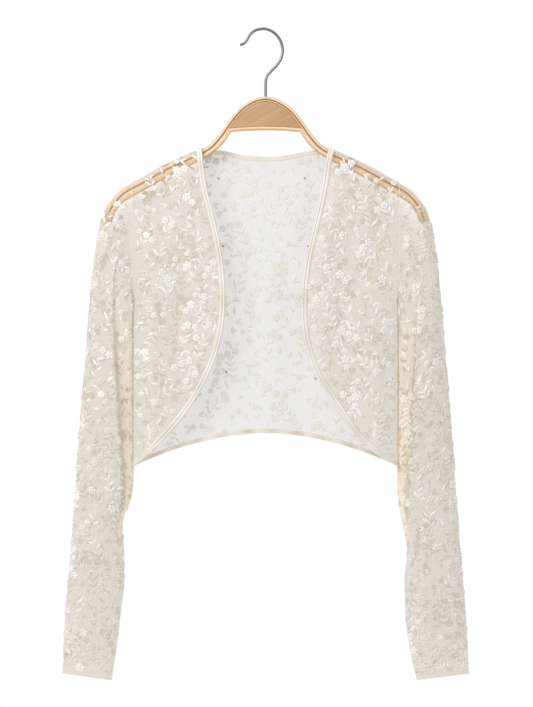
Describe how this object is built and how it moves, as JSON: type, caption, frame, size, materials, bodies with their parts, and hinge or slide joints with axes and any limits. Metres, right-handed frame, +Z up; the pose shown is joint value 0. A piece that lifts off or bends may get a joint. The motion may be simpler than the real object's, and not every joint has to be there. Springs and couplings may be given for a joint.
{
  "type": "bolero jacket on a hanger",
  "caption": "Cropped open-front bolero of ivory embroidered net with satin-bound edges and long sleeves, hanging on a flat wooden hanger with a wire hook.",
  "frame": {"origin": "underside of the hook's crown, where a rail carries the hanger", "axes": "+Z up along the hook's stem, +X towards the wearer's left, -Y out of the jacket's front"},
  "size_m": [0.5454, 0.046, 0.874],
  "materials": {
    "net": "sheer ivory net with glossy thread embroidery",
    "satin": "ivory satin",
    "light_wood": "clear satin varnish",
    "tan_wood": "clear satin varnish",
    "steel": "brushed"
  },
  "bodies": {
    "root": {"back": "net", "front_right": "net", "front_left": "net", "sleeve_right_cap": "net", "sleeve_right_upper": "net", "sleeve_right_elbow": "net", "sleeve_right_lower": "net", "sleeve_left_cap": "net", "sleeve_left_upper": "net", "sleeve_left_elbow": "net", "sleeve_left_lower": "net", "binding_neck": "satin", "binding_front_right": "satin", "binding_front_left": "satin", "binding_hem": "satin", "hanger_rim": "light_wood", "hanger_rail": "light_wood", "hanger_panel": "tan_wood", "hanger_hook": "steel"}
  },
  "joints": []
}
